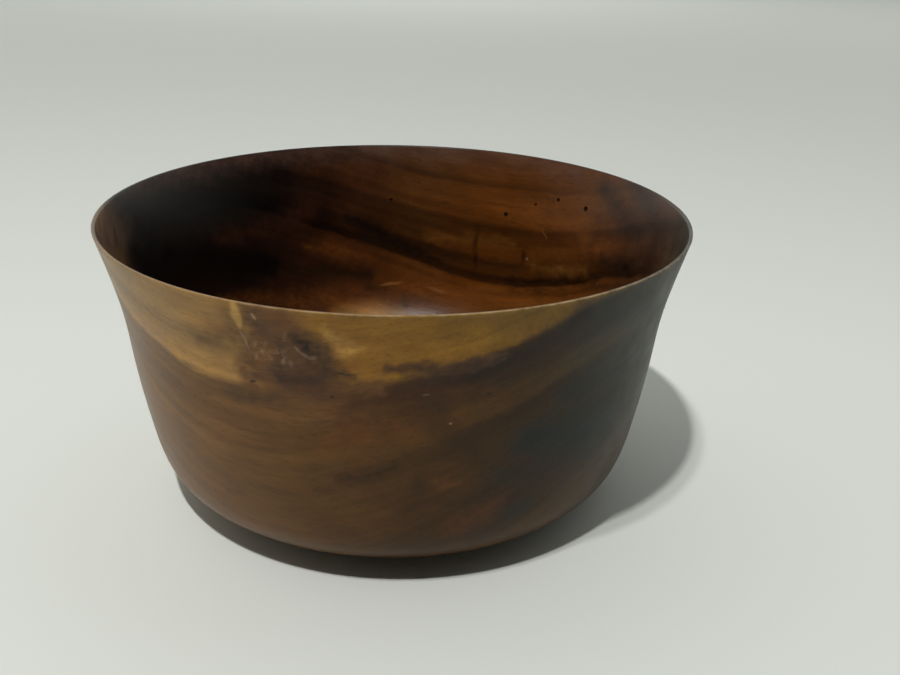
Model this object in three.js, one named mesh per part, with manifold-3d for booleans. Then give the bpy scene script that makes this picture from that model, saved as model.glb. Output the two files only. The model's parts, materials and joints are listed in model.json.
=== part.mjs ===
// Flared wooden bowl: a block turned thin on a lathe, with dark filler in its borer holes.
// Millimetres, +Z up, front to -Y. The origin is the middle of the ring that the bowl stands on.
import * as THREE from 'three';
import Module from 'manifold-3d';
import { mergeVertices } from 'three/addons/utils/BufferGeometryUtils.js';

// Outer outline: the lip leans out at the rim, the side eases to the shoulder and turns under to the foot
const rimRadius = 85;
const bowlHeight = 83;
const lipLean = 16.5; // degrees from upright
const lipPull = 34.6; // how far the lip's lean carries down the side
const shoulderRadius = 73.6;
const shoulderHeight = 23.5;
const shoulderLean = 11.1; // degrees from upright
const sidePull = 35.5; // how far the shoulder's lean carries up the side
const turnPull = 15.6; // how far it carries down into the turn
const underPull = 16.4; // how far the flat underside carries out from the foot

// Wall, measured level: thinnest at the rim, thicker down to where the inside turns into the floor
const rimWall = 1;
const turnWall = 3.4;
const turnHeight = 36;
const floorThickness = 6; // in the middle, over the recess
const innerTurnPull = 22; // how far the wall's lean carries down into the floor's turn
const floorPull = 46; // how far the floor stays nearly level from the middle
const rimSoftening = 0.45; // nearly a full round over the edge

// Foot ring and the recess inside it
const footRadius = 50;
const footHeight = 4;
const footRingWidth = 6;
const recessDepth = 2.5;
const footSoftening = 0.8;

// Borer holes through the wall, by the angle round from the front, the depth below the rim and the width
const borerHoles = [
  { angle: 126, depth: 13.1, width: 1.8 },
  { angle: 135, depth: 12.7, width: 1.3 },
  { angle: 141.3, depth: 15.9, width: 1 },
  { angle: 149.4, depth: 21.1, width: 1.6 },
  { angle: 181.5, depth: 19.3, width: 1.3 },
];
const glueLine = 0.1; // between a plug and the wall of its hole
const drillOverrun = 1; // how far a hole's cutter passes the wall on each side

// Facets
const turns = 64;
const sideSteps = 10;
const turnSteps = 9;
const floorSteps = 10;
const holeSides = 12;

const wasm = await Module();
wasm.setup();

// A unit step up a line that leans out from upright by an angle in degrees
function leaning(degrees) {
  const lean = THREE.MathUtils.degToRad(degrees);
  return new THREE.Vector2(Math.sin(lean), Math.cos(lean));
}

// A point pushed along a direction by a length
function pushed(point, direction, length) {
  return point.clone().addScaledVector(direction, length);
}

const lipUp = leaning(lipLean);
const sideUp = leaning(shoulderLean);

// Outer curve of the side, in radius and height, from the rim down to the shoulder
const outerRim = new THREE.Vector2(rimRadius, bowlHeight);
const innerRim = new THREE.Vector2(rimRadius - rimWall, bowlHeight);
const outerShoulder = new THREE.Vector2(shoulderRadius, shoulderHeight);
const outerSide = new THREE.CubicBezierCurve(
  outerRim,
  pushed(outerRim, lipUp, -lipPull),
  pushed(outerShoulder, sideUp, sidePull),
  outerShoulder,
);

// Where the outer side passes a height, found by halving, since the curve falls all the way
function sideAtHeight(height) {
  let low = 0;
  let high = 1;
  for (let i = 0; i < 40; i += 1) {
    const middle = (low + high) / 2;
    if (outerSide.getPoint(middle).y > height) {
      low = middle;
    } else {
      high = middle;
    }
  }
  return low;
}

// The wall's thickness at a height, growing evenly from the rim to the inner turn
function wallAt(height) {
  return THREE.MathUtils.mapLinear(height, bowlHeight, turnHeight, rimWall, turnWall);
}

// Inner side: the outer one less the wall, from the rim down to the inner turn
const turnPlace = sideAtHeight(turnHeight);
const innerPoints = [];
for (let i = 0; i <= sideSteps; i += 1) {
  const outer = outerSide.getPoint((i / sideSteps) * turnPlace);
  innerPoints.push(new THREE.Vector2(outer.x - wallAt(outer.y), outer.y));
}
const innerTurnStart = innerPoints.at(-1);
const wallDown = innerTurnStart.clone().sub(innerPoints.at(-2)).normalize();

// The turn under the shoulder, outside down to the foot and inside down to the middle of the floor
const underside = new THREE.Vector2(footRadius, footHeight);
const outerTurn = new THREE.CubicBezierCurve(
  outerShoulder,
  pushed(outerShoulder, sideUp, -turnPull),
  new THREE.Vector2(footRadius + underPull, footHeight),
  underside,
);
const floorMiddle = new THREE.Vector2(0, recessDepth + floorThickness);
const innerTurn = new THREE.CubicBezierCurve(
  innerTurnStart,
  pushed(innerTurnStart, wallDown, innerTurnPull),
  new THREE.Vector2(floorPull, floorMiddle.y),
  floorMiddle,
);

// A corner eased off by a small round between its two neighbours
function softened(before, corner, after, radius) {
  const start = pushed(corner, before.clone().sub(corner).normalize(), radius);
  const end = pushed(corner, after.clone().sub(corner).normalize(), radius);
  return new THREE.QuadraticBezierCurve(start, corner, end).getPoints(2);
}

// The whole section: from the middle of the recess out under the foot, up the outside, over the rim,
// down the inside and back to the axis
const ringInner = footRadius - footRingWidth;
const recessMiddle = new THREE.Vector2(0, recessDepth);
const recessCorner = new THREE.Vector2(ringInner, recessDepth);
const ringInnerEdge = new THREE.Vector2(ringInner, 0);
const ringOuterEdge = new THREE.Vector2(footRadius, 0);
const footEase = Math.min(footSoftening, footRingWidth / 3, footHeight / 3, recessDepth / 3);
const rimEase = Math.min(rimSoftening, rimWall * 0.45);
const turnPoints = outerTurn.getPoints(turnSteps).reverse();
const outerPoints = outerSide.getPoints(sideSteps).reverse();
const floorPoints = innerTurn.getPoints(floorSteps);
const section = [
  recessMiddle,
  recessCorner,
  ...softened(recessCorner, ringInnerEdge, ringOuterEdge, footEase),
  ...softened(ringInnerEdge, ringOuterEdge, underside, footEase),
  ...turnPoints,
  ...outerPoints.slice(1, -1),
  ...softened(outerPoints.at(-2), outerRim, innerRim, rimEase),
  ...softened(outerRim, innerRim, innerPoints[1], rimEase),
  ...innerPoints.slice(1),
  ...floorPoints.slice(1),
];

// A closed solid from a geometry, with shared corners merged and slivers on the axis dropped
function solidFrom(geometry) {
  geometry.deleteAttribute('normal');
  geometry.deleteAttribute('uv');
  const merged = mergeVertices(geometry, 1e-4);
  const corners = merged.index.array;
  const kept = [];
  for (let i = 0; i < corners.length; i += 3) {
    const [a, b, c] = corners.subarray(i, i + 3);
    if (a !== b && b !== c && c !== a) {
      kept.push(a, b, c);
    }
  }
  return new wasm.Manifold(new wasm.Mesh({
    numProp: 3,
    vertProperties: new Float32Array(merged.attributes.position.array),
    triVerts: new Uint32Array(kept),
  }));
}

// The turned block before its holes, revolved about Z
const blockGeometry = new THREE.LatheGeometry(section, turns);
blockGeometry.rotateX(Math.PI / 2);
const block = solidFrom(blockGeometry);

// A round cutter square to the wall at a hole, long enough to pass both faces
function wallCutter(hole, radius) {
  const place = sideAtHeight(bowlHeight - hole.depth);
  const point = outerSide.getPoint(place);
  const down = outerSide.getTangent(place);
  const wall = wallAt(point.y);
  const angle = THREE.MathUtils.degToRad(hole.angle);
  const round = new THREE.Vector3(Math.sin(angle), -Math.cos(angle), 0);
  const outward = round.clone().multiplyScalar(-down.y);
  outward.z = down.x;
  const centre = round.multiplyScalar(point.x);
  centre.z = point.y;
  centre.addScaledVector(outward, -wall / 2);
  const cutter = new THREE.CylinderGeometry(radius, radius, wall + 2 * drillOverrun, holeSides);
  const upright = new THREE.Vector3(0, 1, 0);
  cutter.applyQuaternion(new THREE.Quaternion().setFromUnitVectors(upright, outward.normalize()));
  cutter.translate(centre.x, centre.y, centre.z);
  return solidFrom(cutter);
}

function meshFrom(solid, name, material) {
  const { vertProperties, triVerts } = solid.getMesh();
  const geometry = new THREE.BufferGeometry();
  geometry.setAttribute('position', new THREE.BufferAttribute(new Float32Array(vertProperties), 3));
  geometry.setIndex(new THREE.BufferAttribute(new Uint32Array(triVerts), 1));
  geometry.computeVertexNormals();
  const mesh = new THREE.Mesh(geometry, material);
  mesh.name = name;
  return mesh;
}

const oiledWood = new THREE.MeshStandardMaterial({ color: 0x6e4c30, roughness: 0.38, metalness: 0 });
const darkFiller = new THREE.MeshStandardMaterial({ color: 0x1b120c, roughness: 0.7, metalness: 0 });

// Each hole is cut through the wall, and its plug is the same piece of wall, smaller by the glue line
const group = new THREE.Group();
let bowl = block;
borerHoles.forEach((hole, index) => {
  bowl = bowl.subtract(wallCutter(hole, hole.width / 2));
  const plug = block.intersect(wallCutter(hole, hole.width / 2 - glueLine));
  group.add(meshFrom(plug, `filler_plug_${index + 1}`, darkFiller.clone()));
});
group.add(meshFrom(bowl, 'bowl', oiledWood));

export default group;
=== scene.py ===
import json
import math

import bpy
import numpy as np
from mathutils import Euler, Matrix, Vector

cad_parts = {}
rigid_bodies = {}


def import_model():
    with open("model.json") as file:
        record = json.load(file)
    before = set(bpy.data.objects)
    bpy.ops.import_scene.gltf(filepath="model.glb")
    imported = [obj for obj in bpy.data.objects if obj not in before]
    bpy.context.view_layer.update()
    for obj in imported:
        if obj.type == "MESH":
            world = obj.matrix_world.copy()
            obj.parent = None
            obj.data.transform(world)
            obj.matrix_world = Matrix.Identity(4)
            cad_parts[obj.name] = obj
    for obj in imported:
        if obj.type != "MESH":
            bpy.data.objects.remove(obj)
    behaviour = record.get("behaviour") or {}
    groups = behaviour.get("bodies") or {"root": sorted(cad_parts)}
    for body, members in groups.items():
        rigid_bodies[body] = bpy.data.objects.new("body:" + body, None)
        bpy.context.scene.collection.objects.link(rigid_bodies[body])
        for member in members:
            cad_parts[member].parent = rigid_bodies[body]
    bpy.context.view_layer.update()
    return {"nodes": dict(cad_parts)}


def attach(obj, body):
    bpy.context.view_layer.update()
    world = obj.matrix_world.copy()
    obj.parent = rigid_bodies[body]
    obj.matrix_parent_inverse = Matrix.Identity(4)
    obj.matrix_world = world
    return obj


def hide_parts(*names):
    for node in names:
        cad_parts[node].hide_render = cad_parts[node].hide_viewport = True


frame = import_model()
print("frame loaded:", len(frame["nodes"]), "solids")

mm = 0.001  # lengths below are in millimetres


# sRGB hex to linear: each channel is straightened by the sRGB curve
def hexLinear(code):
    parts = [int(code[i:i + 2], 16) / 255 for i in (1, 3, 5)]
    return tuple(p / 12.92 if p <= 0.04045 else ((p + 0.055) / 1.055) ** 2.4 for p in parts) + (1.0,)


# adds a node, sets its properties, then its sockets: a node output is linked, anything else is a value
def addNode(tree, kind, settings=None, **sockets):
    node = tree.nodes.new(kind)
    for key, value in (settings or {}).items():
        setattr(node, key, value)
    for key, value in sockets.items():
        slot = node.inputs[int(key[1:]) if key[1:].isdigit() else key.replace("_", " ")]
        if isinstance(value, bpy.types.NodeSocket):
            tree.links.new(value, slot)
        else:
            slot.default_value = value
    return node


# cubic Bezier: the four points weighted by (1-t)^3, 3t(1-t)^2, 3t^2(1-t) and t^3
def bezier(points, count):
    t = np.linspace(0, 1, count)[:, None]
    a, b, c, d = (np.array(p, float) for p in points)
    return (1 - t) ** 3 * a + 3 * t * (1 - t) ** 2 * b + 3 * t ** 2 * (1 - t) * c + t ** 3 * d


# quarter-like round at a corner: a quadratic Bezier from a point before it to a point after it
def roundCorner(before, corner, after, radius, count):
    before, corner, after = (np.array(p, float) for p in (before, corner, after))
    start = corner + (before - corner) / np.linalg.norm(before - corner) * radius
    end = corner + (after - corner) / np.linalg.norm(after - corner) * radius
    t = np.linspace(0, 1, count)[:, None]
    return (1 - t) ** 2 * start + 2 * t * (1 - t) * corner + t ** 2 * end


# straight run of points between two ends, ends left out
def straight(start, end, count):
    t = np.linspace(0, 1, count + 2)[1:-1, None]
    return (1 - t) * np.array(start, float) + t * np.array(end, float)


bowlShape = {
    "rimRadius": 85, "height": 83, "lipLean": 16.5, "lipPull": 34.6,  # leans are in degrees from upright
    "shoulderRadius": 73.6, "shoulderHeight": 23.5, "shoulderLean": 11.1, "sidePull": 35.5,
    "turnPull": 15.6, "underPull": 16.4, "rimWall": 1, "turnWall": 3.4, "turnHeight": 36,
    "floorThickness": 6, "innerTurnPull": 22, "floorPull": 46, "rimSoftening": 0.45,
    "footRadius": 50, "footHeight": 4, "footRingWidth": 6, "recessDepth": 2.5, "footSoftening": 0.8,
    "columns": 440, "sideRows": 66, "turnRows": 22, "floorRows": 30, "recessRows": 8, "footRows": 4,
    "rimRows": 5, "sharpFrom": 38,  # the last in degrees between faces
}


# section of the bowl as radius and height: out under the foot, up the outside, over the rim and down the
# inside; the outer line by itself comes second
def bowlSection(s):
    lip = math.radians(s["lipLean"])
    side = math.radians(s["shoulderLean"])
    lipUp = np.array((math.sin(lip), math.cos(lip)))
    sideUp = np.array((math.sin(side), math.cos(side)))
    outerRim = np.array((s["rimRadius"], s["height"]), float)
    innerRim = outerRim - (s["rimWall"], 0)
    outerShoulder = np.array((s["shoulderRadius"], s["shoulderHeight"]), float)
    under = np.array((s["footRadius"], s["footHeight"]), float)
    floorMiddle = np.array((0, s["recessDepth"] + s["floorThickness"]), float)
    ringInner = s["footRadius"] - s["footRingWidth"]
    recessCorner = (ringInner, s["recessDepth"])
    innerFoot, outerFoot = (ringInner, 0), (s["footRadius"], 0)
    soft = s["footSoftening"]
    turn = bezier((under, under + (s["underPull"], 0), outerShoulder - sideUp * s["turnPull"], outerShoulder),
                  s["turnRows"])
    outer = bezier((outerShoulder, outerShoulder + sideUp * s["sidePull"],
                    outerRim - lipUp * s["lipPull"], outerRim), s["sideRows"])
    # the inner side is the outer one less a wall that grows evenly from the rim to the inner turn
    drop = np.linspace(s["height"], s["turnHeight"], s["sideRows"])
    wall = np.linspace(s["rimWall"], s["turnWall"], s["sideRows"])
    inner = np.stack([np.interp(drop, outer[:, 1], outer[:, 0]) - wall, drop], 1)
    turnStart = inner[-1]
    wallDown = (inner[-1] - inner[-4]) / np.linalg.norm(inner[-1] - inner[-4])  # over its last rows
    floor = bezier((turnStart, turnStart + wallDown * s["innerTurnPull"],
                    np.array((s["floorPull"], floorMiddle[1])), floorMiddle), s["floorRows"])
    whole = np.vstack([
        [(0, s["recessDepth"])],
        straight((0, s["recessDepth"]), recessCorner, s["recessRows"]),
        roundCorner((0, s["recessDepth"]), recessCorner, innerFoot, soft, s["footRows"]),
        roundCorner(recessCorner, innerFoot, outerFoot, soft, s["footRows"]),
        roundCorner(innerFoot, outerFoot, under, soft, s["footRows"]),
        roundCorner(outerFoot, under, turn[1], soft, s["footRows"]),
        turn[1:-1],
        outer[:-1],
        roundCorner(outer[-2], outerRim, innerRim, s["rimSoftening"], s["rimRows"]),
        roundCorner(outerRim, innerRim, inner[1], s["rimSoftening"], s["rimRows"]),
        inner[1:-1],
        floor,
    ])
    return whole, np.vstack([turn, outer[1:]])


# surface of revolution: x = r sin(angle), y = -r cos(angle), z = height, with one point at each pole, then
# laid along the three axes given and moved to its origin
def revolve(name, section, columns, axes=np.eye(3), origin=(0, 0, 0)):
    angle = np.arange(columns) / columns * 2 * math.pi
    ring = section[1:-1]
    x = ring[:, :1] * np.sin(angle)
    y = -ring[:, :1] * np.cos(angle)
    z = np.repeat(ring[:, 1:], columns, axis=1)
    body = np.stack([x, y, z], -1).reshape(-1, 3)
    poles = [(0, 0, section[0, 1]), (0, 0, section[-1, 1])]
    points = (np.vstack([body, poles]) @ axes + origin) * mm
    rows = len(ring)
    at = np.arange(rows * columns).reshape(rows, columns)
    nextAt = np.roll(at, -1, axis=1)
    quads = np.stack([at[:-1], nextAt[:-1], nextAt[1:], at[1:]], -1).reshape(-1, 4)
    under = np.stack([np.full(columns, rows * columns), nextAt[0], at[0]], -1)
    over = np.stack([np.full(columns, rows * columns + 1), at[-1], nextAt[-1]], -1)
    mesh = bpy.data.meshes.new(name)
    mesh.from_pydata(points.tolist(), [], quads.tolist() + under.tolist() + over.tolist())
    mesh.polygons.foreach_set("use_smooth", np.ones(len(mesh.polygons), bool))
    mesh.update()
    piece = bpy.data.objects.new(name, mesh)
    bpy.context.collection.objects.link(piece)
    return piece


section, outerLine = bowlSection(bowlShape)
bowl = revolve("turned_bowl", section, bowlShape["columns"])
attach(bowl, "root")
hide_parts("bowl")
print("bowl surface:", len(section), "rows,", len(bowl.data.polygons), "faces")


# wall measured level: even growth from the rim down to the inner turn
def levelWall(height):
    return np.interp(height, (bowlShape["turnHeight"], bowlShape["height"]),
                     (bowlShape["turnWall"], bowlShape["rimWall"]))


stopping = {
    "holes": {  # degrees round from the front, mm below the rim, mm wide
        "filler_plug_1": (126, 13.1, 1.8),
        "filler_plug_2": (135, 12.7, 1.3),
        "filler_plug_3": (141.3, 15.9, 1),
        "filler_plug_4": (149.4, 21.1, 1.6),
        "filler_plug_5": (181.5, 19.3, 1.3),
    },
    "glueLine": 0.01, "sunk": 0.35, "dish": 0.2, "ease": 0.08, "flush": 0.03, "columns": 28, "overrun": 1,
    "dishBend": (0.6, 0.7),  # a point of the dish, as shares of the peg's radius and the dish's depth
}


# a hole's own frame: its place on the outer face, axes round the bowl, along the wall and square out of it,
# and the wall's thickness along the last one
def holeFrame(degrees, depth):
    height = bowlShape["height"] - depth
    radius = np.interp(height, outerLine[:, 1], outerLine[:, 0])
    lean = np.interp(height, outerLine[:, 1], np.gradient(outerLine[:, 0], outerLine[:, 1]))
    angle = math.radians(degrees)
    outward = np.array((math.sin(angle), -math.cos(angle), -lean)) / math.hypot(1, lean)
    around = np.array((math.cos(angle), math.sin(angle), 0))
    origin = (radius * math.sin(angle), -radius * math.cos(angle), height)
    axes = np.array((around, np.cross(outward, around), outward))
    return origin, axes, levelWall(height) / math.hypot(1, lean)


# a borer's hole is a round cut square through the wall; its stopping is a round peg with a dished inner end
cutters = bpy.data.collections.new("cutters")
bpy.context.scene.collection.children.link(cutters)
plugs = []
for name, (degrees, depth, width) in stopping["holes"].items():
    origin, axes, wall = holeFrame(degrees, depth)
    low, high = -wall - stopping["overrun"], stopping["overrun"]
    hole = np.array([(0, low), (width / 2, low), (width / 2, high), (0, high)], float)
    cutter = revolve("cutter", hole, stopping["columns"], axes, origin)
    bpy.context.collection.objects.unlink(cutter)
    cutters.objects.link(cutter)
    radius = width / 2 - stopping["glueLine"]
    ease, dish = stopping["ease"], stopping["dish"]
    bendOut, bendUp = stopping["dishBend"]
    low, high = stopping["sunk"] - wall, -stopping["flush"]
    peg = np.array([(0, low + dish), (radius * bendOut, low + dish * bendUp), (radius - ease, low),
                    (radius, low + ease), (radius, high - ease), (radius - ease, high), (0, high)])
    plug = revolve(name.replace("filler_plug", "stopping"), peg, stopping["columns"], axes, origin)
    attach(plug, "root")
    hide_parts(name)
    plugs.append(plug)
cut = bowl.modifiers.new("borer holes", "BOOLEAN")
cut.operation = "DIFFERENCE"
cut.operand_type = "COLLECTION"
cut.collection = cutters
cut.solver = "MANIFOLD"
whole = bowl.data
bowl.data = bpy.data.meshes.new_from_object(bowl.evaluated_get(bpy.context.evaluated_depsgraph_get()))
bowl.modifiers.clear()
bpy.data.meshes.remove(whole)
for cutter in list(cutters.objects):
    bpy.data.meshes.remove(cutter.data)
bpy.data.collections.remove(cutters)
bowl.data.name = "turned_bowl"
bowl.data.set_sharp_from_angle(angle=math.radians(bowlShape["sharpFrom"]))
print("holes cut:", len(plugs), "and", len(bowl.data.polygons), "faces left")


# the wall unrolled: each point's degrees round from the front, its height, its distance from the axis, and
# whether it is on the inner side
def unrolled(mesh):
    points = np.empty(len(mesh.vertices) * 3, np.float32)
    mesh.vertices.foreach_get("co", points)
    x, y, z = points.reshape(-1, 3).T / mm
    reach = np.hypot(x, y)
    middle = np.interp(z, outerLine[:, 1], outerLine[:, 0]) - levelWall(z) / 2
    return np.degrees(np.arctan2(x, -y)), z, reach, reach < middle


# cover of a stroke on the unrolled wall: 1 on a line of (angle, height, half width) points, falling evenly to
# 0 at the half width; the line wanders by the sum of three sine waves of unequal length each way
def strokeCover(angle, height, line, wander):
    line = np.array(line, float)
    radius = np.interp(line[0, 1], outerLine[:, 1], outerLine[:, 0])
    turn = (angle - line[0, 0] + 180) % 360 - 180
    x = np.radians(turn) * radius
    aside = (np.sin(0.6 * x + 0.4 * height) + 0.7 * np.sin(1.1 * x - 0.8 * height)
             + 0.5 * np.sin(1.9 * x + 1.4 * height))
    lift = (np.sin(0.5 * x - 0.7 * height) + 0.7 * np.sin(1.2 * x + 0.9 * height)
            + 0.5 * np.sin(1.7 * x - 1.9 * height))
    place = np.stack([x + wander * aside, height + wander * lift], -1)
    marks = np.stack([np.radians(line[:, 0] - line[0, 0]) * radius, line[:, 1]], -1)
    cover = np.zeros(len(angle))
    for start, end, startWidth, endWidth in zip(marks[:-1], marks[1:], line[:-1, 2], line[1:, 2]):
        run = end - start
        share = np.clip((place - start) @ run / (run @ run), 0, 1)
        away = np.linalg.norm(place - start - share[:, None] * run, axis=1)
        cover = np.maximum(cover, 1 - away / (startWidth + share * (endWidth - startWidth)))
    return cover


# one number for each point of a mesh, kept under a layer's name
def layOn(mesh, layer, cover):
    mesh.attributes.new(layer, "FLOAT", "POINT").data.foreach_set("value", cover.astype(np.float32))


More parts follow.
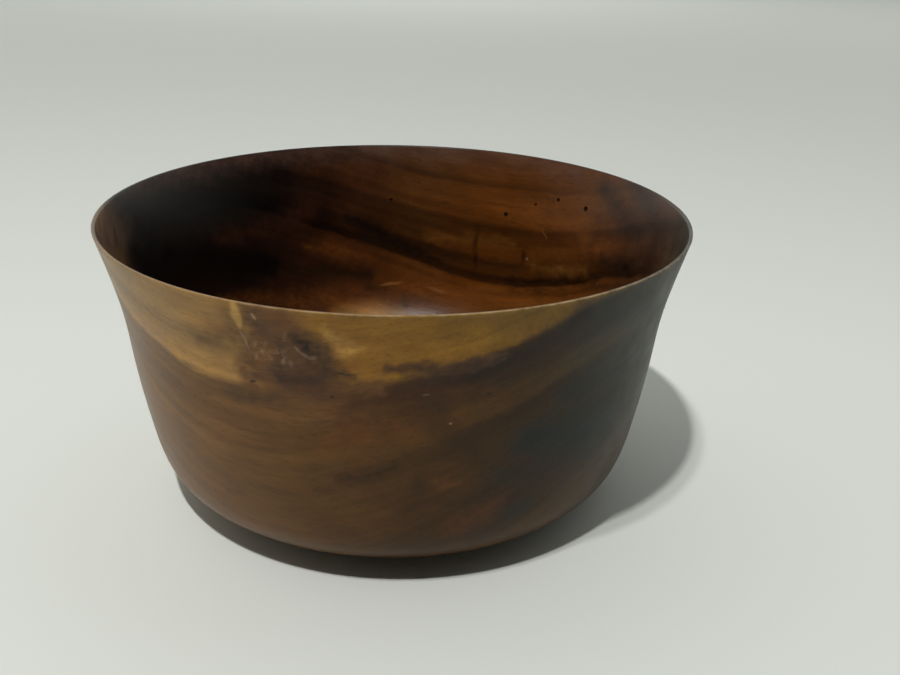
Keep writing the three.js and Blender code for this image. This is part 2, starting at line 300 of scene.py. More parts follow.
# stains and patches that don't follow the rings, and a painted sheen inside near the rim, in the order they
# lie: each stroke is its side of the wall, its strength and its line of (angle, height, half width)
figure = {
    "ember": {"colour": "#82491a", "low": 0.05, "high": 0.95, "fray": 1.2, "strokes": [
        ("out", 0.36, [(-13, 46, 8), (-6, 51, 11), (2, 52, 8)]),
        ("out", 0.4, [(7.5, 36, 3), (9.5, 35, 4), (11, 34.5, 3)]),
        ("out", 0.4, [(-9, 69, 4), (-6.5, 68.5, 4)]),
        ("out", 0.32, [(11, 21, 8), (18, 24, 9)]),
        ("in", 0.4, [(236, 39, 3), (224, 34, 7), (210, 30, 9), (194, 28, 9)]),
        ("in", 0.4, [(206, 49, 4), (199, 48, 8), (190, 44, 7)]),
        ("in", 0.42, [(178, 33, 9), (165, 33, 8), (150, 32.5, 8), (138, 34, 6), (128, 37, 5)]),
        ("in", 0.4, [(158, 64, 7), (148, 65, 9), (135, 64, 10), (124, 62, 8)]),
        ("in", 0.32, [(118, 62, 5), (112, 64.5, 6), (109, 64.5, 4.5)]),
        ("in", 0.2, [(206, 76, 8), (192, 76, 9), (178, 78, 6)]),
        ("in", 0.5, [(200, 26, 6), (186, 25, 7)]),
    ]},
    "slate": {"colour": "#222622", "low": 0.05, "high": 0.95, "fray": 1.5, "strokes": [
        ("out", 0.9, [(25, 45, 10), (35, 43, 17), (46, 41, 15)]),
        ("out", 0.65, [(33, 55, 10), (46, 57, 13), (62, 60, 14)]),
        ("out", 0.65, [(31, 79.5, 6), (40, 76, 8), (50, 72, 12), (64, 68, 12)]),
        ("out", 0.6, [(22, 22.5, 5), (28, 22.5, 5)]),
        ("out", 0.5, [(20, 36, 9), (28, 34, 11)]),
    ]},
    "umber": {"colour": "#24150a", "low": 0.05, "high": 0.95, "fray": 1.8, "strokes": [
        ("out", 0.7, [(-2, 61.5, 4), (5, 63, 7), (12, 65, 7), (20, 69.5, 6), (27, 74, 5), (32, 78.5, 5)]),
        ("out", 0.5, [(10, 49, 3), (20, 53, 3.4), (27, 57, 3.6), (33, 60.5, 4)]),
        ("out", 0.45, [(5, 38, 5), (4, 30, 6), (2, 26, 5)]),
        ("out", 0.55, [(-10, 36.5, 3.4), (-5, 38, 4), (0, 41, 3.6)]),
        ("out", 0.45, [(6, 60, 7), (8, 52, 9), (14, 44, 10)]),
        ("in", 0.75, [(115, 56, 5), (108, 57, 6), (103, 59, 5)]),
        ("in", 0.6, [(113, 68, 4), (109, 72, 5), (104, 70, 8)]),
        ("in", 0.6, [(112, 83, 9), (104, 79, 12), (97, 74, 12), (93, 62, 10)]),
        ("in", 0.75, [(206, 41, 5), (198, 39, 7), (188, 37, 6)]),
        ("in", 0.75, [(216, 47, 8), (209, 42, 7)]),
        ("in", 0.5, [(190, 33, 3), (184, 31, 3)]),
        ("in", 0.55, [(190, 50, 6), (180, 48, 7), (170, 46, 6), (160, 45, 4)]),
        ("in", 0.5, [(162, 45, 2.4), (150, 44.6, 3), (143, 45.4, 2.4)]),
        ("in", 0.5, [(152, 36.4, 1), (138, 38, 1.3), (127, 41.3, 1.2)]),
        ("in", 0.4, [(163, 57, 2.4), (152, 56.6, 3), (141, 57.4, 2.4)]),
        ("in", 0.45, [(184, 59, 4), (179, 56, 6), (173, 52, 4)]),
        ("in", 0.63, [(123, 79, 6), (116, 74, 10), (108, 70, 11)]),
        ("in", 0.45, [(122, 69, 4), (117, 69, 5)]),
        ("in", 0.4, [(121, 59, 4), (119, 54, 4), (120, 46, 4), (112, 48, 6)]),
        ("in", 0.42, [(184, 29.5, 3), (177, 29, 4), (169, 28, 3)]),
    ]},
    # painted sheen: a pale grey-brown veil painted into the colour along the inside near the rim
    "paintedSheen": {"colour": "#60463a", "low": 0.05, "high": 0.95, "fray": 1, "strokes": [
        ("in", 0.55, [(258, 86, 9), (232, 83, 10), (200, 82, 9), (165, 82, 10), (132, 82, 9)]),
        ("in", 0.6, [(274, 80, 13), (265, 68, 13)]),
        ("in", 0.8, [(291, 83, 10), (283, 78, 13), (277, 76, 11)]),
    ]},
    "brown": {"colour": "#6a4622", "low": 0.06, "high": 0.6, "fray": 2, "strokes": [
        ("out", 1, [(-21.5, 85, 8), (-19, 76, 12), (-19, 68, 16), (-17, 60, 18)]),
        ("out", 0.64, [(-26.6, 63.2, 4.6), (-25, 59, 9)]),
        ("out", 0.8, [(-11.5, 66, 3.6), (-9, 63.6, 3.8), (-6, 63, 3.8), (-2.5, 63.4, 3)]),
        ("out", 0.65, [(-1, 68.8, 2.4), (4, 68.4, 3.6), (9, 68.4, 3.6), (14, 69.4, 2.6), (18, 71, 1.6)]),
        ("out", 0.28, [(-9, 84, 4), (-2, 83.6, 6), (6, 83, 5), (15, 81, 6), (18, 78, 5)]),
    ]},
    "dusk": {"colour": "#35261c", "low": 0.05, "high": 0.95, "fray": 2, "strokes": [
        ("out", 0.6, [(-16.5, 75.8, 3), (-15, 76.8, 3.6), (-13.2, 76, 4), (-11.6, 73.5, 4.4)]),
        ("out", 0.7, [(-11.6, 73.5, 4.4), (-10.8, 70, 4.6), (-11, 66, 5)]),
        ("out", 0.75, [(-20, 64.4, 5), (-18, 63.4, 8), (-13, 63.4, 8)]),
        ("out", 0.55, [(-17.5, 71.5, 4), (-14.5, 69.5, 6), (-12.5, 67, 6)]),
        ("out", 0.4, [(-26, 67.5, 5), (-24, 63.5, 6)]),
        ("out", 0.42, [(-27.4, 73.6, 3), (-24.4, 72.4, 3)]),
        ("out", 0.66, [(-11.5, 66.6, 2.2), (-9, 66.6, 2.2), (-6.8, 66, 1.4)]),
        ("out", 0.56, [(-0.5, 68.6, 2.4), (4, 68.2, 3.6), (9, 68.2, 3.6), (14, 69.2, 2.6), (18, 71, 1.6)]),
        ("out", 0.5, [(1.5, 66, 2), (6, 65.8, 3), (11, 66, 3)]),
        ("out", 0.5, [(-19, 73.5, 4), (-18.4, 70, 5)]),
        ("out", 0.48, [(-26.5, 79, 5), (-27, 74, 8), (-32, 70.5, 8), (-34.5, 69.5, 6)]),
        ("out", 0.55, [(-23, 78.5, 3.4), (-21, 76.5, 4.4)]),
        ("out", 0.5, [(-31, 56, 3.4), (-25, 56.5, 4), (-20, 58, 5)]),
        ("out", 0.95, [(-12.6, 72.4, 2.6), (-11.6, 70.4, 3)]),
        ("out", 0.78, [(7, 67.4, 3), (13, 68.6, 3.2), (18.5, 70.6, 2.6)]),
    ]},
    "cinnamon": {"colour": "#5e3214", "low": 0.05, "high": 0.95, "fray": 1.5, "strokes": [
        ("out", 0.42, [(-18, 63, 5), (-12, 61.6, 6), (-6, 59.5, 5), (4, 62.4, 6), (12, 62, 5), (19, 60, 4)]),
        ("out", 0.42, [(-27, 80, 6), (-28.5, 75, 10), (-33, 70.5, 10), (-34.5, 69.5, 7)]),
        ("out", 0.4, [(-10, 55, 5), (-7, 47, 8), (-7, 40, 8), (-12, 37, 5)]),
        ("out", 0.4, [(12, 18, 6), (18, 22, 7), (21, 28, 6)]),
    ]},
    "tan": {"colour": "#7c5022", "low": 0.05, "high": 0.95, "fray": 1.2, "strokes": [
        ("out", 0.4, [(-19.5, 81.5, 4), (-15.5, 80, 4.4)]),
        ("in", 0.45, [(171, 51, 4), (158, 51.5, 5), (146, 52.4, 4)]),
        ("in", 0.48, [(139, 45.8, 3), (132, 47.2, 4), (121, 50.5, 5)]),
    ]},
    "straw": {"colour": "#b08440", "low": 0.05, "high": 0.9, "fray": 2, "strokes": [
        ("out", 0.75, [(-44, 63, 4), (-38, 64, 6), (-33, 62.8, 4.6), (-31, 61.6, 2)]),
        ("out", 0.75, [(-10.8, 78.6, 3), (-9.8, 75.5, 4), (-8, 73.4, 4.6), (-5.8, 74.5, 3)]),
        ("out", 0.3, [(-5.5, 65.4, 1.8), (-3, 66, 2.2), (0.5, 66.6, 1.6)]),
    ]},
    "stain": {"colour": "#080605", "low": 0.05, "high": 0.85, "fray": 1.5, "strokes": [
        ("out", 0.82, [(-15.2, 74.8, 2.8), (-14.5, 73.4, 3.4), (-13.8, 72.2, 2.6)]),
        ("in", 1, [(264, 64, 15), (248, 57, 17), (236, 52, 14), (226, 48, 11), (217, 45, 7)]),
        ("in", 0.65, [(258, 71, 8), (240, 67, 10), (228, 67, 8), (219, 68, 6)]),
        ("in", 0.6, [(193, 58, 4), (188, 55, 8), (183, 51, 7), (177, 47, 4), (168, 43, 2.4)]),
        ("in", 0.5, [(150, 39.4, 1.5), (140, 40.6, 2), (130, 43.4, 2), (121, 46.6, 2), (115, 49.6, 1.8)]),
        ("in", 0.25, [(213, 55, 5), (207, 55, 5)]),
    ]},
    "russet": {"colour": "#371c11", "low": 0.05, "high": 0.95, "fray": 1.5, "strokes": [
        ("in", 0.65, [(232, 58, 5), (222, 57.5, 8), (213, 58, 8), (204, 63, 9)]),
    ]},
    "curl": {"colour": "#8a6c54", "low": 0.1, "high": 0.9, "fray": 2, "strokes": [
        ("out", 0.42, [(-25, 74, 5), (-22.5, 70, 7), (-18, 69, 7)]),
        ("out", 0.36, [(-23, 81, 5), (-20, 76, 6)]),
    ]},
}
wander = 0.5  # mm
angle, height, reach, inside = unrolled(bowl.data)
for layer, paint in figure.items():
    cover = np.zeros(len(angle))
    for side, strength, line in paint["strokes"]:
        onSide = inside == (side == "in")
        cover = np.maximum(cover, strength * strokeCover(angle, height, line, wander) * onSide)
    layOn(bowl.data, layer, cover)
# the rim's top is pale along its outer edge at the front, partly worn bare wood and partly a painted
# highlight, and darker elsewhere and over its inner part, painted shade where the top takes more lamp light
# than the wall; both by the cosine of the angle; the outside shines less towards the right; lengths in mm,
# angles in degrees
wearAndLightLook = {
    "topDepth": 0.5, "paleMiddle": 15, "paleEdge": 0.3, "paleFade": 0.3, "paleSlope": 1.7, "paleLess": 0.7,
    "darkMost": 0.85, "darkSlope": 1.1, "dullFrom": -15, "dullOver": 45,
}
top = np.clip(1 - (bowlShape["height"] - height) / wearAndLightLook["topDepth"], 0, 1)
facing = np.cos(np.radians(angle - wearAndLightLook["paleMiddle"]))
fromEdge = bowlShape["rimRadius"] - reach
outerEdge = np.clip(1 - (fromEdge - wearAndLightLook["paleEdge"]) / wearAndLightLook["paleFade"], 0, 1)
wearAndLight = {
    "wornAndLit": top * outerEdge * np.clip(wearAndLightLook["paleSlope"] * facing - wearAndLightLook["paleLess"], 0, 1),
    # painted shade: the rim's top darkened away from the front, and over its inner part everywhere
    "paintedRimShade": top * np.maximum(np.clip(wearAndLightLook["darkMost"] - wearAndLightLook["darkSlope"] * facing, 0, 1),
                                1 - outerEdge),
    "dull": np.clip((angle - wearAndLightLook["dullFrom"]) / wearAndLightLook["dullOver"], 0, 1) * ~inside,
    "outside": 1.0 * ~inside,
}
for layer, cover in wearAndLight.items():
    layOn(bowl.data, layer, cover)
print("figure laid:", len(figure), "layers")


# one step of arithmetic on numbers: the operation's name, then its values in order
def numberStep(tree, operation, *values):
    sockets = {"n%d" % i: value for i, value in enumerate(values)}
    return addNode(tree, "ShaderNodeMath", {"operation": operation}, **sockets).outputs[0]


# one step of arithmetic on two vectors
def vectorStep(tree, operation, first, second):
    return addNode(tree, "ShaderNodeVectorMath", {"operation": operation}, n0=first, n1=second).outputs[0]


# a vector or colour times a number
def scaled(tree, vector, factor):
    return addNode(tree, "ShaderNodeVectorMath", {"operation": "SCALE"}, n0=vector, n3=factor).outputs[0]


# the length of a vector
def lengthOf(tree, vector):
    return addNode(tree, "ShaderNodeVectorMath", {"operation": "LENGTH"}, n0=vector).outputs["Value"]


# a value mapped from a low and a high to two ends and held there, evenly or by a smooth step
def stretched(tree, value, spans, way="LINEAR"):
    low, high, atLow, atHigh = spans
    return addNode(tree, "ShaderNodeMapRange", {"interpolation_type": way}, n0=value, n1=low, n2=high,
                   n3=atLow, n4=atHigh).outputs[0]


# two colours mixed by the second one's share, or multiplied
def blended(tree, share, first, second, way="MIX"):
    return addNode(tree, "ShaderNodeMix", {"data_type": "RGBA", "blend_type": way}, n0=share, n6=first,
                   n7=second).outputs[2]


# a noise whose cells have a size in mm each way
def sizedNoise(tree, places, size, detail):
    spread = vectorStep(tree, "DIVIDE", places, size)
    return addNode(tree, "ShaderNodeTexNoise", Vector=spread, Scale=1, Detail=detail)


# colour along a distance in mm: given stops joined smoothly, a hex colour or a plain tone each
def colourAlong(tree, distance, stops):
    shades = [(place, hexLinear(c) if isinstance(c, str) else (c, c, c, 1)) for place, c in stops]
    low, high = shades[0][0], shades[-1][0]
    ramp = addNode(tree, "ShaderNodeValToRGB", n0=stretched(tree, distance, (low, high, 0, 1)))
    marks = ramp.color_ramp.elements
    ramp.color_ramp.interpolation = "EASE"
    marks[0].color, marks[-1].color = shades[0][1], shades[-1][1]
    for place, shade in shades[1:-1]:
        marks.new((place - low) / (high - low)).color = shade
    return ramp.outputs["Color"]


markLook = {"through": 14, "fray": 0.6, "edge": 1.3, "soft": 0.7}  # mm through the wall, then shares of size


# fine mark on the wall: 1 in the middle of a tilted ellipsoid, x round the bowl, y through the wall and z up
# it, easing to 0 at an edge frayed by a noise
def fineMark(tree, places, noise, mark):
    degrees, height = mark["at"]
    wide, tall = mark["size"]
    angle = math.radians(degrees)
    reach = float(np.interp(height, outerLine[:, 1], outerLine[:, 0])) - mark.get("inset", 0)
    local = addNode(tree, "ShaderNodeMapping", {"vector_type": "TEXTURE"}, Vector=places,
                    Location=(reach * math.sin(angle), -reach * math.cos(angle), height),
                    Rotation=(0, math.radians(mark.get("tilt", 0)), angle),
                    Scale=(wide, markLook["through"], tall)).outputs[0]
    frayed = numberStep(tree, "MULTIPLY_ADD", noise, markLook["fray"], lengthOf(tree, local))
    edge, soft = markLook["edge"], mark.get("soft", markLook["soft"])
    return stretched(tree, frayed, (edge - soft, edge, mark["amount"], 0), "SMOOTHSTEP")


woodLook = {
    "pithTurn": -26.6, "pithHeight": -28.2,  # the tree's middle line ran under the bowl: degrees in plan, mm
    "bends": {  # the rings' waves: size in mm, detail, reach in mm
        "slow": ((110, 38, 38), 2, 6), "fine": ((26, 7, 7), 2, 2.4),
    },
    "cells": {  # size of each noise in mm, then its detail; pores are drawn 0.6 mm wide, not 0.2, to show
        "fibre": ((30, 1.2, 1.2), 3), "blotch": ((15, 6, 6), 4), "cloud": ((34, 34, 17), 2),
        "streak": ((70, 2.4, 1), 4), "curl": ((3.6, 3.6, 3), 2), "pore": ((4.5, 0.6, 0.6), 1),
    },
    "tones": {  # low and high of a noise, and the tones there
        "streak": (0.3, 0.7, 0.84, 1.16), "blotch": (0.3, 0.7, 0.84, 1.16),
        "fibre": (0.3, 0.7, 0.93, 1.07), "pore": (0.58, 0.68, 1, 0.82),
    },
    "drift": (0.2, 0.8, -40, 10), "rubbedAndLit": (0.35, 0.6, 0.25, 1),  # likewise, mm and the share of the pale edge shown, partly rubbed bare and partly a painted highlight
    "gloss": (0.3, 0.7, 0.31, 0.41), "dents": (0.55, 0.75, 1, 0),  # likewise, roughness and the pores' height
    "tints": ((0.92, 1.04, 1.03, 1), (1.08, 0.96, 0.97, 1)),
    "hairWidth": 0.09,  # how far a hair's noise is off its middle
    "backFrom": -20, "insideBackTo": 16, "outsideBackTo": 44,  # mm behind the axis
    # the lightest left end of the front body is partly the wood's own tone and partly a painted sheen
    "frontBody": [(-85, "#80603e"), (-45, "#7e5a33"), (-5, "#724e27"), (18, "#644118"), (40, "#58380f"),
                  (62, "#4c320e"), (74, "#443824"), (85, "#463e30")],
    "backBody": [(-85, "#1c120c"), (-70, "#1c0f09"), (-58, "#331a0c"), (-46, "#4a260f"), (-30, "#5c3411"),
                 (0, "#68390f"), (40, "#6e3e16"), (62, "#52301a"), (85, "#4a3224")],
    "frontRings": [(30, 0.95), (58, 0.95), (66, 0.6), (73, 0.5), (80, 0.5), (86, 0.72), (92, 0.7), (96, 0.62),
                   (101, 1.0), (104, 0.85), (108, 0.5), (114, 0.5), (118, 0.8), (140, 0.8)],
    "frontRingDepth": [(-60, 0.1), (-5, 0.3), (25, 0.6), (60, 1.0)],
    "backRings": [(30, 0.9), (70, 1.0), (94.2, 1.0), (95, 0.74), (95.8, 0.74), (96.4, 0.95), (97.6, 0.85),
                  (98.3, 0.24), (99.8, 0.22), (101.2, 0.4), (104, 0.42), (105.6, 0.66), (108.6, 0.74),
                  (110, 0.5), (113.6, 0.48), (115.4, 0.84), (121, 0.92), (125.6, 0.84), (126.8, 0.55),
                  (127.8, 0.6), (129, 0.76), (140, 0.9)],
    "sapwoodFrom": 116.4, "sapwoodBlur": 2.4, "sapwoodFray": 3,
    # the left end of the sapwood is lighter partly by its own tone and partly by a painted sheen
    "sapwood": [(-85, "#a07a4c"), (-40, "#a67d4a"), (-5, "#a97f44"), (22, "#986a24"), (50, "#966a1e"),
                (66, "#7c5818"), (85, "#4a3418")],
    "sapwoodRings": [(114, 0.9), (118, 1.0), (121, 1.0), (126, 0.78), (132, 0.9), (137, 0.88), (140, 0.82)],
    # the pale rim edge colour is partly bare wood and partly a painted highlight; the rim shade tone is
    # painted shade
    "bareWoodAndHighlight": "#b4986f", "rimShadeTone": 0.42, "dullness": 0.09, "specular": 0.21, "ior": 1.5,
    "poreDepth": 0.1, "poreStrength": 0.15,  # mm, and a share of it
}
# fine marks, the front ones outside and the others inside: pale splits and curls by the knot, flecks, a pale
# patch where the floor turns up that is partly pale wood and partly a painted highlight, upright checks, a
# scratch and dark streaks on the far wall; each is given by its angle and height, and by its half width and
# half height in mm
fineMarks = [
    {"at": (-25.4, 80.4), "size": (1.8, 4.8), "tilt": -4, "amount": 0.9, "colour": "#be9450"},
    {"at": (-24.9, 77.4), "size": (1.1, 2.8), "tilt": 12, "amount": 0.8, "colour": "#b88e4c"},
    {"at": (-25, 72.6), "size": (0.5, 3.6), "tilt": -10, "amount": 0.55, "colour": "#96786a"},
    {"at": (-22.2, 79.7), "size": (0.6, 1.6), "tilt": -25, "amount": 0.6, "colour": "#a58c6c"},
    {"at": (-23.2, 71.8), "size": (0.7, 1.8), "tilt": 20, "amount": 0.4, "colour": "#96725a"},
    {"at": (-22.2, 69.8), "size": (0.8, 1.5), "tilt": -30, "amount": 0.4, "colour": "#926e54"},
    {"at": (-23.4, 68.2), "size": (0.7, 1.5), "tilt": 15, "amount": 0.36, "colour": "#926e54"},
    {"at": (-21.2, 72.4), "size": (0.6, 1.7), "tilt": 30, "amount": 0.3, "colour": "#8c6a50"},
    {"at": (-15.6, 72), "size": (0.7, 1.6), "tilt": -27, "amount": 0.45, "colour": "#86705c"},
    {"at": (-14.6, 70.6), "size": (1.7, 0.7), "tilt": 28, "amount": 0.45, "colour": "#86705c"},
    {"at": (-13.3, 70.1), "size": (1.5, 0.7), "tilt": -4, "amount": 0.4, "colour": "#86705c"},
    {"at": (-17.3, 75.4), "size": (0.7, 2.2), "tilt": 22, "amount": 0.4, "colour": "#86643e"},
    {"at": (-18.3, 68), "size": (0.9, 1.6), "tilt": 10, "amount": 0.4, "colour": "#827060"},
    {"at": (-17, 67.8), "size": (0.9, 1.6), "tilt": -10, "amount": 0.4, "colour": "#827060"},
    {"at": (-25, 61), "size": (1.5, 0.4), "tilt": -18, "amount": 0.8, "colour": "#241812"},
    {"at": (-8.6, 66.5), "size": (2.6, 0.45), "tilt": 6, "amount": 0.7, "colour": "#2c1c12"},
    {"at": (-10.4, 60), "size": (0.6, 0.5), "amount": 0.7, "colour": "#2c1c12"},
    {"at": (5, 61), "size": (1.2, 0.35), "amount": 0.5, "colour": "#8a6c48"},
    {"at": (9.7, 52.8), "size": (0.6, 0.6), "amount": 0.5, "colour": "#a08a70"},
    {"at": (16, 60), "size": (1, 0.5), "amount": 0.6, "colour": "#20140c"},
    # partly pale wood and partly a painted highlight where the inner floor turns up
    {"at": (188.5, 21), "inset": 7.4, "size": (21, 10), "soft": 1.25, "amount": 0.95, "colour": "#c09250"},
    {"at": (157.2, 51.5), "size": (1.6, 8), "tilt": -3, "soft": 1.1, "amount": 0.75, "colour": "#1c0f08"},
    {"at": (156.6, 45), "size": (1.3, 4.5), "tilt": -3, "soft": 1, "amount": 0.85, "colour": "#140b06"},
    {"at": (142.4, 49), "size": (1.6, 4), "soft": 1, "amount": 0.85, "colour": "#140b06"},
    {"at": (141.3, 48.4), "size": (0.6, 0.6), "amount": 0.5, "colour": "#b0906a"},
    {"at": (186.5, 65), "size": (1.6, 1.4), "soft": 1, "amount": 0.5, "colour": "#2c160a"},
    {"at": (167, 64), "size": (2.4, 0.9), "soft": 1, "amount": 0.5, "colour": "#2c160a"},
    {"at": (167.5, 32), "size": (5, 0.8), "tilt": -12, "amount": 0.3, "colour": "#96683c"},
    {"at": (136.9, 58.5), "size": (0.3, 3.2), "tilt": 38, "amount": 0.4, "colour": "#a07040"},
    {"at": (279.4, 80.8), "size": (7, 0.9), "tilt": 13, "amount": 0.6, "colour": "#2a1c14"},
    {"at": (272, 74.5), "size": (6, 0.9), "tilt": 37, "amount": 0.5, "colour": "#241812"},
    {"at": (105.3, 58.5), "size": (3, 2.4), "amount": 0.85, "colour": "#160a07"},
    {"at": (182, 33.3), "size": (6, 0.9), "tilt": 8, "amount": 0.5, "colour": "#a8703a"},
    {"at": (177.5, 26.6), "size": (7, 2.2), "tilt": -4, "soft": 1.1, "amount": 0.6, "colour": "#3a2014"},
    {"at": (177, 25.8), "size": (2, 1), "amount": 0.6, "colour": "#2c1a18"},
]


# hardwood turned thin, sanded fine, oiled and rubbed with wax: deep brown figure, gold sapwood at the front
# of the rim, fine pores along the fibre, a pale rim edge that is partly bare wood and partly a painted
# highlight, painted shade over the rest of the rim's top, a painted sheen inside near the rim and a soft
# satin shine
def oiledWood(name, look):
    material = bpy.data.materials.new(name)
    material.use_nodes = True
    tree = material.node_tree
    coords = addNode(tree, "ShaderNodeTexCoord")
    places = scaled(tree, coords.outputs["Object"], 1 / mm)
    # the grain's own frame: x along the fibre, y across it, z up from the tree's middle
    grain = addNode(tree, "ShaderNodeMapping", {"vector_type": "TEXTURE"}, Vector=places,
                    Location=(0, 0, look["pithHeight"]),
                    Rotation=(0, 0, math.radians(look["pithTurn"]))).outputs[0]
    bends = {}
    for key, (size, detail, bendReach) in look["bends"].items():
        waves = sizedNoise(tree, grain, size, detail).outputs["Color"]
        bends[key] = scaled(tree, vectorStep(tree, "SUBTRACT", waves, (0.5, 0.5, 0.5)), bendReach)
    slowGrain = vectorStep(tree, "ADD", grain, bends["slow"])
    bentGrain = vectorStep(tree, "ADD", slowGrain, bends["fine"])
    bentPlaces = vectorStep(tree, "ADD", places, bends["fine"])
    ring = lengthOf(tree, vectorStep(tree, "MULTIPLY", bentGrain, (0, 1, 1)))  # mm from the tree's middle
    along = addNode(tree, "ShaderNodeSeparateXYZ", n0=bentGrain).outputs["X"]
    ringPlace = addNode(tree, "ShaderNodeCombineXYZ", X=along, Y=ring).outputs[0]
    # fibre, blotches and pores lie along the grain, streaks along the rings; clouds and curls follow neither
    sources = {"fibre": bentGrain, "blotch": bentGrain, "cloud": bentPlaces, "streak": ringPlace,
               "curl": bentPlaces, "pore": grain}
    cells = {}
    for key, (size, detail) in look["cells"].items():
        cells[key] = sizedNoise(tree, sources[key], size, detail).outputs["Fac"]
    # grit: the mean of three noises, less a half
    grit = numberStep(tree, "ADD", cells["fibre"], cells["blotch"])
    grit = numberStep(tree, "ADD", grit, cells["curl"])
    grit = numberStep(tree, "MULTIPLY_ADD", grit, 1 / 3, -0.5)
    wornAndLit, paintedRimShade, dull, outside = (
        addNode(tree, "ShaderNodeAttribute", {"attribute_name": key}).outputs["Fac"] for key in wearAndLight)
    # the front half is paler brown than the back half; outside the change is slower and runs in streaks
    depth = addNode(tree, "ShaderNodeSeparateXYZ", n0=bentPlaces).outputs["Y"]
    drift = stretched(tree, cells["streak"], look["drift"])
    depth = numberStep(tree, "MULTIPLY_ADD", outside, drift, depth)
    backTo = stretched(tree, outside, (0, 1, look["insideBackTo"], look["outsideBackTo"]))
    front = stretched(tree, depth, (look["backFrom"], backTo, 1, 0), "SMOOTHSTEP")
    body = blended(tree, front, colourAlong(tree, along, look["backBody"]),
                   colourAlong(tree, along, look["frontBody"]))
    frontRings = blended(tree, colourAlong(tree, along, look["frontRingDepth"]), (1, 1, 1, 1),
                         colourAlong(tree, ring, look["frontRings"]))
    rings = blended(tree, front, colourAlong(tree, ring, look["backRings"]), frontRings)
    heart = blended(tree, 1, body, rings, "MULTIPLY")
    # sapwood: outside one ring, its edge frayed along the fibre
    frayed = numberStep(tree, "MULTIPLY_ADD", grit, look["sapwoodFray"], ring)
    sapSpan = (look["sapwoodFrom"], look["sapwoodFrom"] + look["sapwoodBlur"], 0, 1)
    sapShare = numberStep(tree, "MULTIPLY", stretched(tree, frayed, sapSpan, "SMOOTHSTEP"), front)
    sap = blended(tree, 1, colourAlong(tree, along, look["sapwood"]),
                  colourAlong(tree, ring, look["sapwoodRings"]), "MULTIPLY")
    colour = blended(tree, sapShare, heart, sap)
    # stains, patches and the painted sheen, their edges frayed, then the fine marks on their own side of the
    # wall; the curled grain shows as hairs, where the curl noise passes its middle
    offMiddle = numberStep(tree, "ABSOLUTE", numberStep(tree, "SUBTRACT", cells["curl"], 0.5))
    hairs = stretched(tree, offMiddle, (0, look["hairWidth"], 1, 0), "SMOOTHSTEP")
    for layer, paint in figure.items():
        cover = addNode(tree, "ShaderNodeAttribute", {"attribute_name": layer}).outputs["Fac"]
        fray = numberStep(tree, "MULTIPLY_ADD", grit, paint["fray"], 1)
        cover = numberStep(tree, "MULTIPLY", cover, fray)
        share = stretched(tree, cover, (paint["low"], paint["high"], 0, 1), "SMOOTHSTEP")
        if layer == "curl":
            share = numberStep(tree, "MULTIPLY", share, hairs)
        colour = blended(tree, share, colour, hexLinear(paint["colour"]))
    marked = {"in": colour, "out": colour}
    for mark in fineMarks:
        side = "out" if abs(mark["at"][0]) < 90 else "in"
        share = fineMark(tree, bentPlaces, cells["blotch"], mark)
        marked[side] = blended(tree, share, marked[side], hexLinear(mark["colour"]))
    colour = blended(tree, outside, marked["in"], marked["out"])
    # clouds lean redder or greener, then tones run over everything
    greener, redder = look["tints"]
    colour = blended(tree, 1, colour, blended(tree, cells["cloud"], greener, redder), "MULTIPLY")
    for key, spans in look["tones"].items():
        colour = scaled(tree, colour, stretched(tree, cells[key], spans))
    # the rim's top is pale here and there along its outer edge, partly rubbed bare and partly a painted
    # highlight,
    # and darkened elsewhere: painted shade
    bareAndLit = numberStep(tree, "MULTIPLY", wornAndLit, stretched(tree, cells["curl"], look["rubbedAndLit"]))
    colour = blended(tree, bareAndLit, colour, hexLinear(look["bareWoodAndHighlight"]))
    colour = scaled(tree, colour, stretched(tree, paintedRimShade, (0, 1, 1, look["rimShadeTone"])))
    gloss = stretched(tree, cells["blotch"], look["gloss"])
    gloss = numberStep(tree, "MULTIPLY_ADD", dull, look["dullness"], gloss)
    bump = addNode(tree, "ShaderNodeBump", Strength=look["poreStrength"], Distance=look["poreDepth"] * mm,
                   Height=stretched(tree, cells["pore"], look["dents"]))
    shader = tree.nodes["Principled BSDF"]
    tree.links.new(colour, shader.inputs["Base Color"])
    tree.links.new(gloss, shader.inputs["Roughness"])
    tree.links.new(bump.outputs[0], shader.inputs["Normal"])
    shader.inputs["Specular IOR Level"].default_value = look["specular"]
    shader.inputs["IOR"].default_value = look["ior"]
    return material


bowl.data.materials.clear()
bowl.data.materials.append(oiledWood("oiled hardwood turned and waxed", woodLook))

fillerLook = {
    "dark": "#0e0805", "pale": "#2a1a10", "gloss": (0.3, 0.7, 0.7, 0.9), "specular": 0.15, "detail": 3,
    "grain": 0.3, "dent": 0.05, "dentStrength": 0.3,  # mm; wood dust is finer, and is drawn coarser to show
}


# dark wood stopping, wood dust in resin pressed into the holes: nearly black, dull, faintly speckled
def woodStopping(name, look):
    material = bpy.data.materials.new(name)
    material.use_nodes = True
    tree = material.node_tree
    coords = addNode(tree, "ShaderNodeTexCoord")
    specks = addNode(tree, "ShaderNodeTexNoise", Vector=coords.outputs["Object"],
                     Scale=1 / (look["grain"] * mm), Detail=look["detail"]).outputs["Fac"]
    colour = blended(tree, specks, hexLinear(look["dark"]), hexLinear(look["pale"]))
    bump = addNode(tree, "ShaderNodeBump", Strength=look["dentStrength"], Distance=look["dent"] * mm,
                   Height=specks)
    shader = tree.nodes["Principled BSDF"]
    tree.links.new(colour, shader.inputs["Base Color"])
    tree.links.new(stretched(tree, specks, look["gloss"]), shader.inputs["Roughness"])
    tree.links.new(bump.outputs[0], shader.inputs["Normal"])
    shader.inputs["Specular IOR Level"].default_value = look["specular"]
    return material


filler = woodStopping("dark wood stopping sanded flush", fillerLook)
for plug in plugs:
    plug.data.materials.append(filler)
print("materials made")

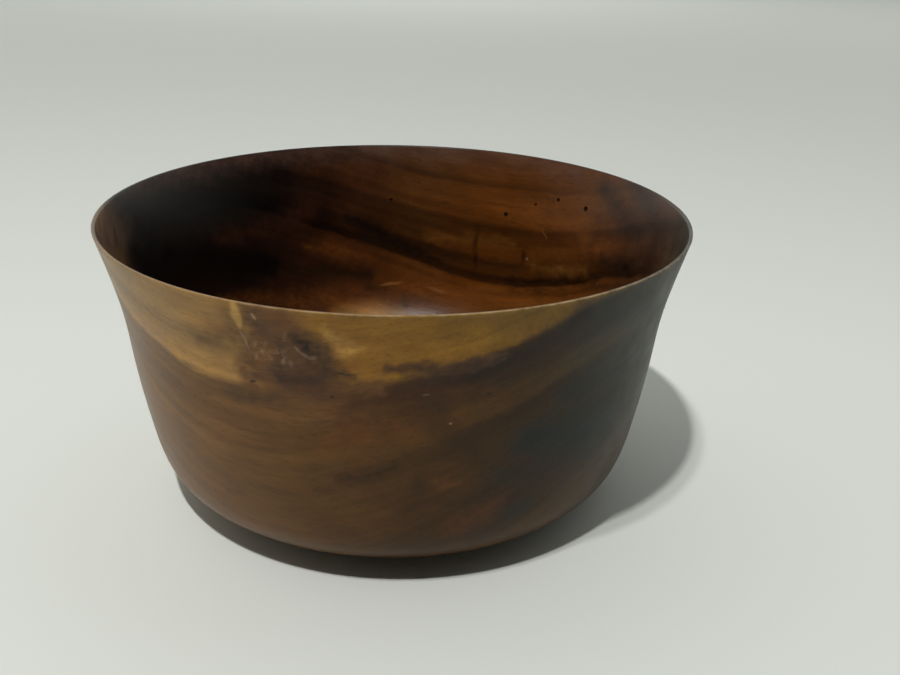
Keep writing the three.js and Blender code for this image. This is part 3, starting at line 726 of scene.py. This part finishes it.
studio = {
    "floorRadius": 3600, "floorColumns": 96, "floorColour": "#e6e9e4", "floorRoughness": 0.75,
    "horizonColour": "#c6c8c2", "overheadColour": "#bcbebc", "frontColour": "#0e1515",
    "overFrontColour": "#262c2c",
    "skyBack": (-0.5, 0.5, 0, 1), "skyUp": (0.15, 0.8, 0, 1),  # where the sky's back and upper part begin
    "skyLean": (-1, 1, 2.5, 1.4),  # strength of the low sky from left to right
    "lamps": {  # a pair over the front left
        "lamp": {"place": (-206, -572, 1270), "aim": (0, 0, 0), "size": 50, "power": 7.8, "spread": 180},
        "second_lamp": {"place": (-240, -502, 1270), "aim": (0, 0, 0), "size": 50, "power": 3.9,
                        "spread": 180},
    },
    "floorLamps": {"count": 6, "reach": 2000, "height": 1500, "size": 1400, "power": 2.4, "spread": 80},
    "lampColour": "#fffffc",
    "cameraPlace": (0, -293.07, 166.02), "cameraTurn": (67.105, -1.467, -2.639), "lens": 41.32,
    "sensor": 36, "clipStart": 10,
}


# flat disc on the ground, centred under the bowl: x = r cos(angle), y = r sin(angle), z = 0
def flatFloor(name, radius, columns):
    angle = np.arange(columns) / columns * 2 * math.pi
    edge = np.stack([np.cos(angle), np.sin(angle), np.zeros(columns)], -1) * radius * mm
    mesh = bpy.data.meshes.new(name)
    mesh.from_pydata(edge.tolist(), [], [list(range(columns))])
    piece = bpy.data.objects.new(name, mesh)
    bpy.context.collection.objects.link(piece)
    return piece


floor = flatFloor("floor", studio["floorRadius"], studio["floorColumns"])
paper = bpy.data.materials.new("matt white board")
paper.use_nodes = True
paperShader = paper.node_tree.nodes["Principled BSDF"]
paperShader.inputs["Base Color"].default_value = hexLinear(studio["floorColour"])
paperShader.inputs["Roughness"].default_value = studio["floorRoughness"]
floor.data.materials.append(paper)

world = bpy.data.worlds.new("pale room")
world.use_nodes = True
sky = world.node_tree
skyAim = addNode(sky, "ShaderNodeTexCoord")
skyParts = addNode(sky, "ShaderNodeSeparateXYZ", n0=skyAim.outputs["Generated"])
skyBack = stretched(sky, skyParts.outputs["Y"], studio["skyBack"], "SMOOTHSTEP")
skyUp = stretched(sky, skyParts.outputs["Z"], studio["skyUp"], "SMOOTHSTEP")
skyLean = stretched(sky, skyParts.outputs["X"], studio["skyLean"])
skySides = blended(sky, skyBack, hexLinear(studio["frontColour"]), hexLinear(studio["horizonColour"]))
skyHigh = blended(sky, skyBack, hexLinear(studio["overFrontColour"]), hexLinear(studio["overheadColour"]))
skyTone = blended(sky, skyUp, scaled(sky, skySides, skyLean), skyHigh)
skyPath = addNode(sky, "ShaderNodeLightPath")
skySeen = blended(sky, skyPath.outputs["Is Camera Ray"], skyTone, hexLinear(studio["horizonColour"]))
sky.links.new(skySeen, sky.nodes["Background"].inputs["Color"])
bpy.context.scene.world = world

# a ring of lamps that reach only the floor far round the bowl
ringLook = studio["floorLamps"]
for i in range(ringLook["count"]):
    turn = 2 * math.pi * i / ringLook["count"]
    aside, beyond = ringLook["reach"] * math.sin(turn), ringLook["reach"] * math.cos(turn)
    studio["lamps"]["floor_lamp_%d" % (i + 1)] = {
        "place": (aside, beyond, ringLook["height"]), "aim": (aside, beyond, 0),
        "size": ringLook["size"], "power": ringLook["power"], "spread": ringLook["spread"],
    }
for name, lampLook in studio["lamps"].items():
    lampData = bpy.data.lights.new(name, "AREA")
    lampData.shape = "DISK"
    lampData.size = lampLook["size"] * mm
    lampData.energy = lampLook["power"]
    lampData.spread = math.radians(lampLook["spread"])
    lampData.color = hexLinear(studio["lampColour"])[:3]
    lamp = bpy.data.objects.new(name, lampData)
    lamp.location = Vector(lampLook["place"]) * mm
    away = lamp.location - Vector(lampLook["aim"]) * mm
    lamp.rotation_euler = away.to_track_quat("Z", "Y").to_euler()
    bpy.context.collection.objects.link(lamp)

cameraData = bpy.data.cameras.new("camera")
cameraData.lens = studio["lens"]
cameraData.sensor_width = studio["sensor"]
cameraData.clip_start = studio["clipStart"] * mm
camera = bpy.data.objects.new("camera", cameraData)
camera.location = Vector(studio["cameraPlace"]) * mm
camera.rotation_euler = Euler([math.radians(a) for a in studio["cameraTurn"]])
bpy.context.collection.objects.link(camera)
bpy.context.scene.camera = camera
bpy.context.scene.view_settings.view_transform = "Standard"
print("studio set")
